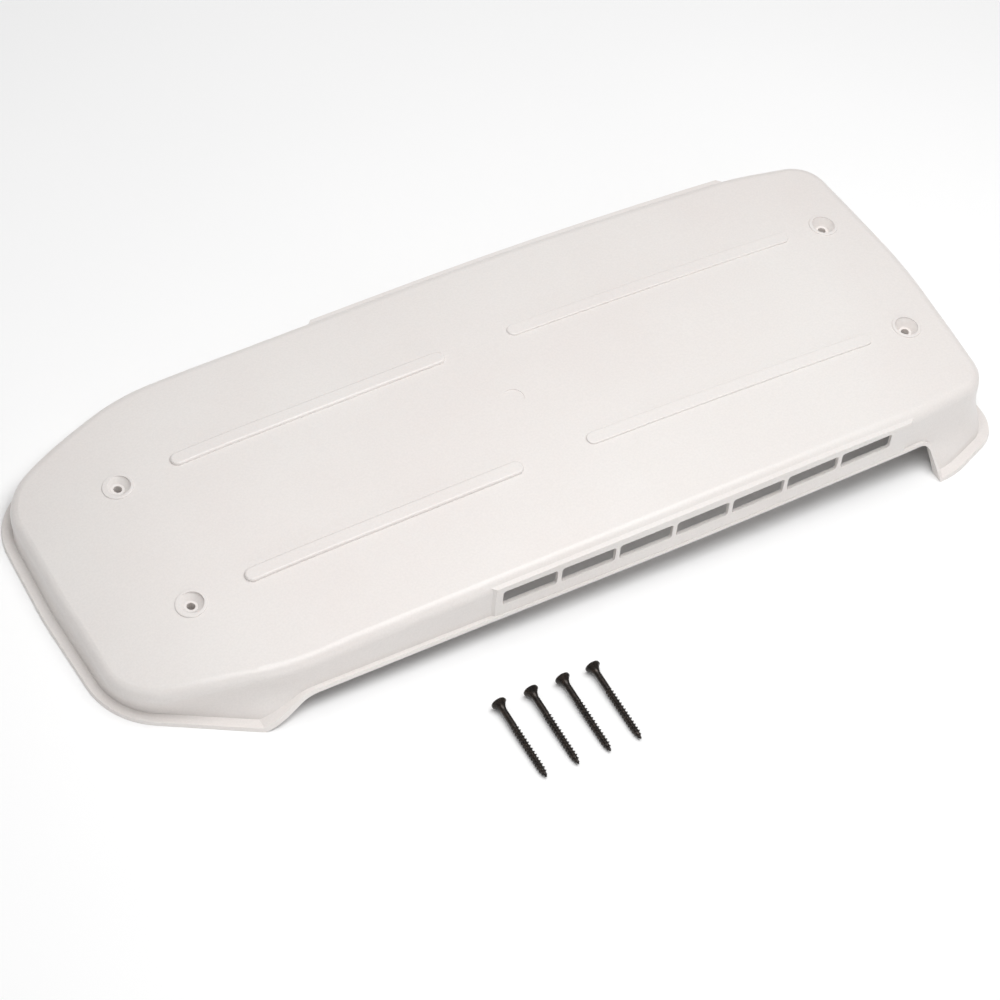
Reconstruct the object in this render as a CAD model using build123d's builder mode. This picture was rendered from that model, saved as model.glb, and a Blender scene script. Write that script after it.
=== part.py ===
"""Roof vent cover: a moulded plastic cap with side louvre slots, and its four loose screws.

X runs along the cap from the low nose (-X) to the tall tail (+X), Y across it, +Z up.
The origin is the centre of the four screw holes, in the plane where the screw bosses end.
The rim of the cap and the loose screws rest on the plane z = RIM_Z.  All sizes are in mm.
"""

import os
from math import atan, cos, degrees

from build123d import *

os.makedirs("parts", exist_ok=True)

# ---------------------------------------------------------------- driving dimensions
WALL = 2.5  # moulded skin
RIM_Z = -27.0  # underside of the rim
LIP_THICK = 2.4  # flange turned out along the rim and along the raised bottom edge
TOP_EDGE_RADIUS = 8.0
BELOW = -150.0  # anywhere under the cap

HOLE_PITCH_X = 558.8  # screw holes, 22 in along the cap
HOLE_PITCH_Y = 108.0  # and 4.25 in across it
HOLE_RADIUS = 2.9

# Outline of the cap at four heights.  Each lists its corners from nose to tail as
# x, distance from the centreline, corner radius; the outline is mirrored across the cap.
SHOULDER = [(-348, 0, 300), (-346, 101, 29), (-245, 128.9, 160), (60, 130, 6000), (245, 126.4, 160),
            (310, 118, 25), (317, 0, 400)]
WAIST = [(-349, 0, 300), (-347, 98, 32), (-242, 129.4, 160), (60, 130.8, 6000), (248, 127.8, 160),
         (313, 119, 25), (320, 0, 400)]
FLARE = [(-349.5, 0, 300), (-347, 91, 40), (-248, 132, 110), (50, 133.4, 6000), (260, 132.4, 100),
         (316, 120, 24), (321, 0, 400)]
RIM = [(-350.5, 0, 300), (-347, 86, 46), (-255, 138, 60), (50, 139.5, 6000), (272, 138.5, 60),
       (318.5, 119, 22), (322, 0, 400)]

# Height, outline there, and how far the turned-out flange stands proud of it.
LEVELS = [(50, SHOULDER, 2.1), (34, SHOULDER, 2.1), (18, SHOULDER, 2.1), (-2, WAIST, 2.3),
          (-14, FLARE, 4.2), (RIM_Z, RIM, 7.5)]

# The crowned top: x, height on the centreline, fall at CROWN_HALF_WIDTH from it.
CROWN_HALF_WIDTH = 128.0
CROWN = [(-380, -18, 8), (-345, -3.5, 8), (-312, 7.5, 8), (-275, 16.3, 8), (-150, 28.2, 8),
         (0, 36, 8), (100, 37.8, 6.5), (200, 37.4, 5), (275, 35.2, 4.5), (330, 31.5, 4)]

# The sides are cut away between the nose and tail legs, along this line: x, z, radius.
SKIRT_CUT = [(-300, -42), (-233, -12.2), (257, -0.4), (264, -42)]
NOSE_RAMP_RADIUS = 35.0
TAIL_ARCH_RADIUS = 11.0

# Raised louvre panel on each long side, with its row of slots.
PANEL_START, PANEL_END = -97.0, 233.0
PANEL_PROUD = 1.8
PANEL_BELOW_CROWN = 2.6
SLOT_COUNT = 7
SLOT_LENGTH, SLOT_HEIGHT, SLOT_RADIUS = 41.4, 13.2, 2.2
SLOT_PITCH = 44.7
FIRST_SLOT_X = -69.5
SLOT_MIDDLE_Z = 11.9  # middle of the row's line at x = 0
SLOT_SLOPE = 0.032

# Long raised beads on the top: start, end, width, height above the crown, edge radius.
BEADS = [(-241, -34, 10.8, 2.2, 1.6), (16, 248, 9.8, 1.4, 0.9)]
GATE_MARK = (-10, 0)
GATE_MARK_RADIUS, GATE_MARK_DEPTH = 7.2, 0.4

# Screw wells sunk into the top, each on a hollow boss: x, height of the crown there, depth.
WELLS = [(-HOLE_PITCH_X / 2, 14.6, 3.4), (HOLE_PITCH_X / 2, 33.9, 5.2)]
WELL_RING_RADIUS, WELL_RING_PROUD, WELL_RING_EDGE_RADIUS = 10.6, 0.9, 0.7
WELL_MOUTH_RADIUS, WELL_FLOOR_RADIUS = 8.4, 4.6
BOSS_RADIUS = 6.2

# Bugle-head screw, 2 1/2 in long, lying on the rim plane with its head towards the cap.
SCREW_LENGTH = 63.5
HEAD_RADIUS, HEAD_RIM, HEAD_DEPTH = 5.2, 1.3, 8.5
SHANK_RADIUS = 2.15
THREAD_RADIUS, THREAD_ROOT_RADIUS, THREAD_PITCH = 2.75, 1.85, 2.6
THREAD_TURNS = 14
POINT_LENGTH = 7.0
CROSS_WIDTH, CROSS_SPAN, CROSS_DEPTH = 1.4, 5.4, 2.4
SCREW_HEAD_Y = -185.0
SCREW_X = [-120.5, -96.3, -72.2, -49.0]


def grown(corners, grow):
    """A half list of corners as the whole closed outline, moved outward by grow."""
    half = [Vector(x, -y) for x, y, _ in corners]
    points = half + [Vector(p.X, -p.Y) for p in half[-2:0:-1]]
    radii = [r for _, _, r in corners + corners[-2:0:-1]]
    moved = []
    for i, point in enumerate(points):
        before = (point - points[i - 1]).normalized()
        after = (points[(i + 1) % len(points)] - point).normalized()
        normals = Vector(before.Y, -before.X), Vector(after.Y, -after.X)
        moved.append(point + (normals[0] + normals[1]) * (grow / (1 + normals[0].dot(normals[1]))))
    return moved, [max(r + grow, 2.0) for r in radii]


def hood(growths):
    """Solid form of the cap's sides, each level moved outward by its own amount."""
    with BuildPart() as form:
        for (z, corners, _), grow in zip(LEVELS, growths):
            points, radii = grown(corners, grow)
            with BuildSketch(Plane.XY.offset(z)):
                with BuildLine():
                    FilletPolyline(*points, radius=radii, close=True)
                make_face()
        loft()
    return form.part


def under_crown(raise_by):
    """Everything below the crowned top, which is moved up by raise_by."""
    with BuildPart() as block:
        for x, height, fall in CROWN:
            side = CROWN_HALF_WIDTH * 1.5
            top, edge = height + raise_by, height + raise_by - fall * 1.5**2
            with BuildSketch(Plane.YZ.offset(x)):
                with BuildLine():
                    ThreePointArc((-side, edge), (0, top), (side, edge))
                    Polyline((side, edge), (side, BELOW), (-side, BELOW), (-side, edge))
                make_face()
        loft()
    return block.part


def skirt_cut(shrink):
    """Region under the raised bottom edge of the long sides, as a face in the XZ plane."""
    with BuildSketch(Plane.XZ) as region:
        with BuildLine():
            FilletPolyline(*SKIRT_CUT, radius=[0, NOSE_RAMP_RADIUS, TAIL_ARCH_RADIUS, 0], close=True)
        make_face()
        if shrink:
            offset(amount=shrink)
    return region.sketch


def panel_block(sink):
    """Block that the louvre panels are cut from, one each side, with sloping ends."""
    with BuildPart() as block:
        with BuildSketch(Plane.XZ.offset(124)):
            with Locations(((PANEL_START + PANEL_END) / 2, 0)):
                Rectangle(PANEL_END - PANEL_START + 12 - 2 * sink, 200)
        extrude(amount=16, taper=45)
        mirror(about=Plane.XZ)
    return block.part


# ---------------------------------------------------------------- the cap
with BuildPart() as outside:
    add(hood([0] * len(LEVELS)))
    add(under_crown(0), mode=Mode.INTERSECT)
    top_face = outside.faces().sort_by(Axis.Z)[-1]
    fillet(top_face.edges(), TOP_EDGE_RADIUS)

with BuildPart() as hollow:
    add(hood([-WALL] * len(LEVELS)))
    add(under_crown(-WALL), mode=Mode.INTERSECT)
    inner_top = hollow.faces().sort_by(Axis.Z)[-1]
    fillet(inner_top.edges(), TOP_EDGE_RADIUS - WALL)

with BuildPart() as panels:
    add(hood([PANEL_PROUD] * len(LEVELS)))
    add(under_crown(-PANEL_BELOW_CROWN), mode=Mode.INTERSECT)
    add(panel_block(0), mode=Mode.INTERSECT)

with BuildPart() as panel_hollow:
    add(hood([PANEL_PROUD - WALL] * len(LEVELS)))
    add(under_crown(-PANEL_BELOW_CROWN - WALL), mode=Mode.INTERSECT)
    add(panel_block(WALL), mode=Mode.INTERSECT)

# flange along the rim, and on up over the raised bottom edge of the sides
with BuildPart() as flange:
    with BuildSketch(Plane.XZ):
        with Locations((0, RIM_Z + LIP_THICK / 2)):
            Rectangle(800, LIP_THICK)
        add(skirt_cut(LIP_THICK))
        add(skirt_cut(0), mode=Mode.SUBTRACT)
    extrude(amount=200, both=True)
    add(hood([proud for _, _, proud in LEVELS]), mode=Mode.INTERSECT)

# long beads on the top, a pair at a time
bead_pairs = []
for start, end, width, proud, edge_radius in BEADS:
    with BuildPart() as bead_pair:
        with BuildSketch(Plane.XY.offset(-20)):
            with Locations(*[((start + end) / 2, side * HOLE_PITCH_Y / 2) for side in (-1, 1)]):
                SlotOverall(end - start, width)
        extrude(amount=80)
        add(under_crown(proud), mode=Mode.INTERSECT)
        crests = bead_pair.faces().filter_by(lambda face: face.normal_at().Z > 0.5)
        fillet(crests.edges(), edge_radius)
        add(under_crown(-WALL / 2), mode=Mode.SUBTRACT)
    bead_pairs.append(bead_pair.part)

# wells for the screws: the ring and cup, then the bosses down to z = 0
with BuildPart() as wells:
    for x, height, depth in WELLS:
        floor_z = height - depth - WALL
        with Locations(*[(x, side * HOLE_PITCH_Y / 2, floor_z) for side in (-1, 1)]):
            Cylinder(WELL_RING_RADIUS, 25, align=(Align.CENTER, Align.CENTER, Align.MIN))
        with Locations(*[(x, side * HOLE_PITCH_Y / 2, 0) for side in (-1, 1)]):
            Cylinder(BOSS_RADIUS, floor_z + 1, align=(Align.CENTER, Align.CENTER, Align.MIN))
    add(under_crown(WELL_RING_PROUD), mode=Mode.INTERSECT)
    ring_tops = wells.faces().filter_by(lambda face: face.normal_at().Z > 0.5)
    fillet(ring_tops.edges(), WELL_RING_EDGE_RADIUS)

# shallow round mark where the plastic was fed into the mould
with BuildPart() as mark:
    with Locations((GATE_MARK[0], GATE_MARK[1], 40)):
        Cylinder(GATE_MARK_RADIUS, 40)
    add(under_crown(-GATE_MARK_DEPTH), mode=Mode.SUBTRACT)

with BuildPart() as cover:
    add(outside.part)
    add(panels.part)
    add(flange.part)
    add(hollow.part, mode=Mode.SUBTRACT)
    add(panel_hollow.part, mode=Mode.SUBTRACT)
    # opening under the long sides
    with BuildSketch(Plane.XZ):
        add(skirt_cut(0))
    extrude(amount=200, both=True, mode=Mode.SUBTRACT)
    # louvre slots through both sides
    with BuildSketch(Plane.XZ):
        for i in range(SLOT_COUNT):
            x = FIRST_SLOT_X + i * SLOT_PITCH
            with Locations(Location((x, SLOT_MIDDLE_Z + SLOT_SLOPE * x), degrees(atan(SLOT_SLOPE)))):
                RectangleRounded(SLOT_LENGTH, SLOT_HEIGHT, SLOT_RADIUS)
    extrude(amount=200, both=True, mode=Mode.SUBTRACT)
    for bead_pair_part in bead_pairs:
        add(bead_pair_part)
    add(wells.part)
    # well recesses and screw holes
    for x, height, depth in WELLS:
        with Locations(*[(x, side * HOLE_PITCH_Y / 2, height) for side in (-1, 1)]):
            Cone(WELL_FLOOR_RADIUS, WELL_MOUTH_RADIUS, depth,
                 align=(Align.CENTER, Align.CENTER, Align.MAX), mode=Mode.SUBTRACT)
            Cylinder(WELL_MOUTH_RADIUS, 10, align=(Align.CENTER, Align.CENTER, Align.MIN),
                     mode=Mode.SUBTRACT)
            Cylinder(HOLE_RADIUS, 120, mode=Mode.SUBTRACT)
    add(mark.part, mode=Mode.SUBTRACT)

# ---------------------------------------------------------------- one screw, head up at z = 0
with BuildPart() as screw:
    with BuildSketch(Plane.XZ):
        with BuildLine():
            thread_end = -SCREW_LENGTH + POINT_LENGTH
            ridges = []
            for i in range(THREAD_TURNS):
                z = thread_end + i * THREAD_PITCH
                ridges += [(THREAD_RADIUS, z), (THREAD_ROOT_RADIUS, z + THREAD_PITCH * 0.45)]
            Polyline((0, -SCREW_LENGTH), (0.5, -SCREW_LENGTH), *ridges,
                     (SHANK_RADIUS, thread_end + THREAD_TURNS * THREAD_PITCH),
                     (SHANK_RADIUS, -HEAD_DEPTH))
            Spline((SHANK_RADIUS, -HEAD_DEPTH), (2.9, -4.6), (HEAD_RADIUS, -HEAD_RIM),
                   tangents=[(0, 1), (1, 0.75)])
            Polyline((HEAD_RADIUS, -HEAD_RIM), (HEAD_RADIUS, -0.3), (HEAD_RADIUS - 0.3, 0), (0, 0),
                     (0, -SCREW_LENGTH))
        make_face()
    revolve(axis=Axis.Z)
    with BuildSketch(Plane.XY):
        Rectangle(CROSS_SPAN, CROSS_WIDTH)
        Rectangle(CROSS_WIDTH, CROSS_SPAN)
    extrude(amount=-CROSS_DEPTH, mode=Mode.SUBTRACT)

# ---------------------------------------------------------------- one file per piece
cover.part.label = "cover"
export_step(cover.part, "parts/cover.step")

# each screw rests on its head rim and its lowest full thread
rest_span = SCREW_LENGTH - POINT_LENGTH - HEAD_RIM
lean = atan((HEAD_RADIUS - THREAD_RADIUS) / rest_span)
head_z = RIM_Z + HEAD_RADIUS * cos(lean)
for number, x in enumerate(SCREW_X, 1):
    with BuildPart() as laid_screw:
        with Locations(Location((x, SCREW_HEAD_Y, head_z), (degrees(lean) - 90, 0, 0))):
            add(screw.part)
    laid_screw.part.label = f"screw_{number}"
    export_step(laid_screw.part, f"parts/screw_{number}.step")
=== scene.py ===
"""Looks for the roof vent cover: moulded plastic cap, four loose dark screws, soft studio light."""

import math

import bmesh
import bpy
from mathutils import Matrix, Vector


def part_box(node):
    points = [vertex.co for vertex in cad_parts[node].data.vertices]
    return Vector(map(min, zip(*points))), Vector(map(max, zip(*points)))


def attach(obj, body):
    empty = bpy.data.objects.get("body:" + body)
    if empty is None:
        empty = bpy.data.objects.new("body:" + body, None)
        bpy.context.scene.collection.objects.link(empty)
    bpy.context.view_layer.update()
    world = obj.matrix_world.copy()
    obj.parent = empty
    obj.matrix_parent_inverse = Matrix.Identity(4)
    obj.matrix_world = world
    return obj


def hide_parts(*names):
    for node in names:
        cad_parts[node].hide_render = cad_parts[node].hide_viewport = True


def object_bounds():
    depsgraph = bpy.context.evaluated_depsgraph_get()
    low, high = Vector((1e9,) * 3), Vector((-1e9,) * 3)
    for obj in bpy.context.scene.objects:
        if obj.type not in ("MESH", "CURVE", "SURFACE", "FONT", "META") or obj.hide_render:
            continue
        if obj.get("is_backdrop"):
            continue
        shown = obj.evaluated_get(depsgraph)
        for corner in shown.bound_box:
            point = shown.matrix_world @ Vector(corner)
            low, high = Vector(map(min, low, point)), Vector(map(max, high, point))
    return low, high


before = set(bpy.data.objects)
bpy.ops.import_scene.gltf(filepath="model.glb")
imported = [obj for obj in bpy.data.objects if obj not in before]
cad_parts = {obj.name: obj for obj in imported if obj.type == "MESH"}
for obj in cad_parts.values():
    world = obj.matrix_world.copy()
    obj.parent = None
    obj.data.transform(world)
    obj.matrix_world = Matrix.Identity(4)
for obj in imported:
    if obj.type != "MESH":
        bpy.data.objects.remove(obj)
cad_low, cad_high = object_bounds()
MM = 0.001

# ---------------------------------------------------------------- camera
CAMERA_TARGET = Vector((-0.0465, -0.0499, 0.0))
CAMERA_DISTANCE = 2.354
CAMERA_HEADING = math.radians(37.45)  # it looks this far towards +X from +Y
CAMERA_ELEVATION = math.radians(49.19)
CAMERA_ROLL = math.radians(10.1)
CAMERA_LENS = 125.86

camera_data = bpy.data.cameras.new("camera")
camera_data.lens = CAMERA_LENS
camera_data.sensor_width = 36
camera_data.shift_x = 0.0022
camera_data.shift_y = -0.0005
camera_data.clip_start = 0.05
camera_data.clip_end = 50
camera = bpy.data.objects.new("camera", camera_data)
bpy.context.scene.collection.objects.link(camera)
turn = (Matrix.Rotation(-CAMERA_HEADING, 4, "Z") @ Matrix.Rotation(math.pi / 2 - CAMERA_ELEVATION, 4, "X")
        @ Matrix.Rotation(CAMERA_ROLL, 4, "Z"))
camera.matrix_world = Matrix.Translation(CAMERA_TARGET) @ turn @ Matrix.Translation((0, 0, CAMERA_DISTANCE))
bpy.context.scene.camera = camera


# ---------------------------------------------------------------- materials
class Nodes:
    """A material's node tree, with short calls for adding and joining nodes."""

    def __init__(self, name):
        self.material = bpy.data.materials.new(name)
        self.material.use_nodes = True
        self.tree = self.material.node_tree
        self.shader = self.tree.nodes["Principled BSDF"]
        self.coordinates = self.tree.nodes.new("ShaderNodeTexCoord").outputs["Object"]

    def join(self, output, socket):
        self.tree.links.new(output, socket)

    def noise(self, scale, detail=2.0, roughness=0.5):
        node = self.tree.nodes.new("ShaderNodeTexNoise")
        node.inputs["Scale"].default_value = scale
        node.inputs["Detail"].default_value = detail
        node.inputs["Roughness"].default_value = roughness
        self.join(self.coordinates, node.inputs["Vector"])
        return node.outputs["Fac"]

    def ramp(self, factor, *stops):
        node = self.tree.nodes.new("ShaderNodeValToRGB")
        elements = node.color_ramp.elements
        while len(elements) < len(stops):
            elements.new(0.5)
        for element, (position, colour) in zip(elements, stops):
            element.position = position
            element.color = (*colour, 1)
        self.join(factor, node.inputs["Fac"])
        return node.outputs["Color"]

    def level(self, factor, low, high):
        node = self.tree.nodes.new("ShaderNodeMapRange")
        node.inputs["To Min"].default_value = low
        node.inputs["To Max"].default_value = high
        self.join(factor, node.inputs["Value"])
        return node.outputs["Result"]

    def mix(self, factor, first, second, blend="MIX"):
        node = self.tree.nodes.new("ShaderNodeMix")
        node.data_type = "RGBA"
        node.blend_type = blend
        for value, socket in ((factor, node.inputs[0]), (first, node.inputs[6]), (second, node.inputs[7])):
            if hasattr(value, "is_linked"):
                self.join(value, socket)
            else:
                socket.default_value = value
        return node.outputs[2]

    def bump(self, height, strength, distance, under=None):
        node = self.tree.nodes.new("ShaderNodeBump")
        node.inputs["Strength"].default_value = strength
        node.inputs["Distance"].default_value = distance
        self.join(height, node.inputs["Height"])
        if under is not None:
            self.join(under, node.inputs["Normal"])
        return node.outputs["Normal"]


def cover_material():
    """Warm white moulded plastic with a fine eggshell grain."""
    m = Nodes("cover_plastic")
    tint = m.ramp(m.noise(7, 3), (0.3, (0.775, 0.728, 0.703)), (0.7, (0.795, 0.762, 0.738)))
    fleck = m.ramp(m.noise(700, 2), (0.35, (0.965, 0.965, 0.965)), (0.65, (1, 1, 1)))
    m.join(m.mix(1.0, tint, fleck, "MULTIPLY"), m.shader.inputs["Base Color"])
    m.join(m.level(m.noise(60, 3), 0.28, 0.36), m.shader.inputs["Roughness"])
    waves = m.bump(m.noise(14, 2), 0.05, 2 * MM)
    grain = m.bump(m.noise(900, 2, 0.6), 0.08, 0.1 * MM, waves)
    m.join(grain, m.shader.inputs["Normal"])
    m.shader.inputs["IOR"].default_value = 1.5
    m.shader.inputs["Subsurface Weight"].default_value = 0.04
    m.shader.inputs["Subsurface Radius"].default_value = (0.004, 0.003, 0.0025)
    m.shader.inputs["Subsurface Scale"].default_value = 1.0
    return m.material


def screw_material():
    """Steel with a dark phosphate finish, a little brown where it is thin."""
    m = Nodes("screw_steel")
    colour = m.ramp(m.noise(420, 4), (0.35, (0.012, 0.010, 0.009)), (0.62, (0.034, 0.025, 0.020)),
                    (0.8, (0.085, 0.058, 0.043)))
    m.join(colour, m.shader.inputs["Base Color"])
    m.join(m.level(m.noise(900, 3), 0.2, 0.36), m.shader.inputs["Roughness"])
    m.join(m.bump(m.noise(2500, 3), 0.25, 0.05 * MM), m.shader.inputs["Normal"])
    m.shader.inputs["Metallic"].default_value = 0.55
    return m.material


def floor_material():
    """Matt white paper sweep."""
    m = Nodes("floor")
    paper = m.ramp(m.noise(3, 2), (0.3, (0.955, 0.955, 0.955)), (0.7, (0.97, 0.97, 0.97)))
    m.join(paper, m.shader.inputs["Base Color"])
    m.shader.inputs["Roughness"].default_value = 0.95
    m.shader.inputs["Specular IOR Level"].default_value = 0.1
    return m.material


cover_plastic = cover_material()
screw_steel = screw_material()


def dress(obj, material):
    """Give obj this one material."""
    obj.data.materials.clear()
    obj.data.materials.append(material)
    return obj


# ---------------------------------------------------------------- the cap
dress(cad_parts["cover"], cover_plastic)

# ---------------------------------------------------------------- the screws
SCREW_LENGTH = 63.5
HEAD_RADIUS, HEAD_RIM, HEAD_DEPTH = 5.2, 1.3, 8.5
SHANK_RADIUS = 2.15
THREAD_RADIUS, THREAD_ROOT_RADIUS, THREAD_PITCH = 2.75, 1.8, 2.6
THREAD_TOP = -20.1
POINT_LENGTH = 7.0
AROUND, STEP = 48, 0.13


def bugle(depth):
    """Head radius at a depth below the rim, easing into the shank."""
    span = HEAD_DEPTH - HEAD_RIM
    t = min(max((depth - HEAD_RIM) / span, 0), 1)
    return SHANK_RADIUS + (HEAD_RADIUS - SHANK_RADIUS) * (1 - t) ** 2.3


def thread_radius(z, angle):
    """Radius of the threaded end, with one helical ridge that fades in under the shank."""
    turn_part = (z / THREAD_PITCH - angle / (2 * math.pi)) % 1.0
    ridge = max(0.0, 1 - abs(turn_part - 0.5) / 0.27) ** 0.8
    point = min(1.0, (z + SCREW_LENGTH) / POINT_LENGTH)
    taper = math.sin(point * math.pi / 2) ** 0.75
    fade = min(1.0, (THREAD_TOP - z) / THREAD_PITCH)
    root = THREAD_ROOT_RADIUS + (SHANK_RADIUS - THREAD_ROOT_RADIUS) * (1 - fade)
    crest = SHANK_RADIUS + (THREAD_RADIUS - SHANK_RADIUS) * fade
    return 0.25 + (root + (crest - root) * ridge - 0.25) * taper


def screw_radius(z, angle):
    """Radius of the whole screw below its head rim."""
    if z <= THREAD_TOP:
        return thread_radius(z, angle)
    return bugle(-z)


def cross_cutter():
    """Tapered cross for the driver's recess."""
    shape = bmesh.new()
    for quarter in (0, math.pi / 2):
        top = [shape.verts.new(Matrix.Rotation(quarter, 3, "Z") @ Vector((x, y, 0.5)))
               for x, y in ((-3.0, -0.8), (3.0, -0.8), (3.0, 0.8), (-3.0, 0.8))]
        low = [shape.verts.new(Matrix.Rotation(quarter, 3, "Z") @ Vector((x, y, -3.4)))
               for x, y in ((-0.9, -0.45), (0.9, -0.45), (0.9, 0.45), (-0.9, 0.45))]
        shape.faces.new(top)
        shape.faces.new(low[::-1])
        for i in range(4):
            shape.faces.new((top[i], low[i], low[(i + 1) % 4], top[(i + 1) % 4]))
    bmesh.ops.recalc_face_normals(shape, faces=shape.faces)
    mesh = bpy.data.meshes.new("cross_cutter")
    shape.to_mesh(mesh)
    shape.free()
    return bpy.data.objects.new("cross_cutter", mesh)


def screw_mesh():
    """One screw in millimetres, its head at z = 0 and its point at -SCREW_LENGTH."""
    shape = bmesh.new()
    heights = [-SCREW_LENGTH + i * STEP for i in range(int((SCREW_LENGTH - HEAD_RIM) / STEP) + 1)]
    angles = [2 * math.pi * k / AROUND for k in range(AROUND)]
    rings = [[(screw_radius(z, angle), z) for angle in angles] for z in heights]
    for radius, z in ((HEAD_RADIUS, -HEAD_RIM), (HEAD_RADIUS, -0.35), (HEAD_RADIUS - 0.1, -0.12),
                      (HEAD_RADIUS - 0.35, 0), (HEAD_RADIUS - 1.2, 0)):
        rings.append([(radius, z)] * AROUND)
    made = []
    for ring in rings:
        made.append([shape.verts.new((r * math.cos(angle), r * math.sin(angle), z))
                     for angle, (r, z) in zip(angles, ring)])
    for low, high in zip(made, made[1:]):
        for k in range(AROUND):
            shape.faces.new((low[k], low[(k + 1) % AROUND], high[(k + 1) % AROUND], high[k]))
    shape.faces.new(made[0][::-1])
    shape.faces.new(made[-1])
    mesh = bpy.data.meshes.new("screw")
    shape.to_mesh(mesh)
    shape.free()
    blank = bpy.data.objects.new("screw_blank", mesh)
    cutter = cross_cutter()
    for obj in (blank, cutter):
        bpy.context.scene.collection.objects.link(obj)
    cut = blank.modifiers.new("recess", "BOOLEAN")
    cut.operation = "DIFFERENCE"
    cut.solver = "EXACT"
    cut.use_self = True
    cut.object = cutter
    done = bpy.data.meshes.new_from_object(blank.evaluated_get(bpy.context.evaluated_depsgraph_get()))
    for obj in (blank, cutter):
        bpy.data.objects.remove(obj)
    done.transform(Matrix.Scale(MM, 4))
    done.shade_smooth()
    done.set_sharp_from_angle(angle=math.radians(32))
    return done


rest_span = SCREW_LENGTH - POINT_LENGTH - HEAD_RIM
lean = math.atan((HEAD_RADIUS - THREAD_RADIUS) / rest_span)
upright_screw = screw_mesh()
for number in (1, 2, 3, 4):
    node = f"screw_{number}"
    low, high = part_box(node)
    mesh = upright_screw.copy()
    mesh.name = f"threaded_{node}"
    # each one is turned about its own axis, as it came to rest
    mesh.transform(Matrix.Rotation(math.radians(27 + 50 * number), 4, "Z"))
    mesh.transform(Matrix.Rotation(lean - math.pi / 2, 4, "X"))
    head_middle = Vector(((low.x + high.x) / 2, high.y - HEAD_RADIUS * MM * math.sin(lean),
                          low.z + HEAD_RADIUS * MM * math.cos(lean)))
    mesh.transform(Matrix.Translation(head_middle))
    piece = bpy.data.objects.new(f"threaded_{node}", mesh)
    bpy.context.scene.collection.objects.link(piece)
    dress(piece, screw_steel)
    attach(piece, f"loose_screw_{number}")
    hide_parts(node)

# ---------------------------------------------------------------- floor and light
FLOOR_HALF_SIZE = 14
FLOOR_GAP = 0.05 * MM
WORLD_STRENGTH = 0.36

floor_shape = bmesh.new()
bmesh.ops.create_grid(floor_shape, x_segments=2, y_segments=2, size=FLOOR_HALF_SIZE)
floor_mesh = bpy.data.meshes.new("floor")
floor_shape.to_mesh(floor_mesh)
floor_shape.free()
floor = bpy.data.objects.new("floor", floor_mesh)
floor.location.z = cad_low.z - FLOOR_GAP
bpy.context.scene.collection.objects.link(floor)
dress(floor, floor_material())
floor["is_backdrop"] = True

world = bpy.data.worlds.new("studio")
world.use_nodes = True
world.node_tree.nodes["Background"].inputs["Color"].default_value = (1.0, 1.0, 1.0, 1)
world.node_tree.nodes["Background"].inputs["Strength"].default_value = WORLD_STRENGTH
bpy.context.scene.world = world
bpy.context.scene.view_settings.view_transform = "Standard"


def area_light(name, place, target, size, power):
    """White rectangular softbox aimed at target."""
    light = bpy.data.lights.new(name, "AREA")
    light.shape = "RECTANGLE"
    light.size, light.size_y = size
    light.energy = power
    lamp = bpy.data.objects.new(name, light)
    lamp.location = place
    lamp.rotation_euler = (Vector(target) - Vector(place)).to_track_quat("-Z", "Y").to_euler()
    bpy.context.scene.collection.objects.link(lamp)


area_light("key_softbox", (0.08, -0.30, 1.28), (0.0, -0.05, 0), (1.4, 0.7), 13)
area_light("ceiling", (-0.1, 0.9, 3.8), (0, 0.2, 0), (3.0, 3.0), 25)
area_light("front_fill", (0.1, -3.0, 0.5), (0, 0, 0), (3.0, 0.6), 11)

# ---------------------------------------------------------------- sizes
low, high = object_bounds()
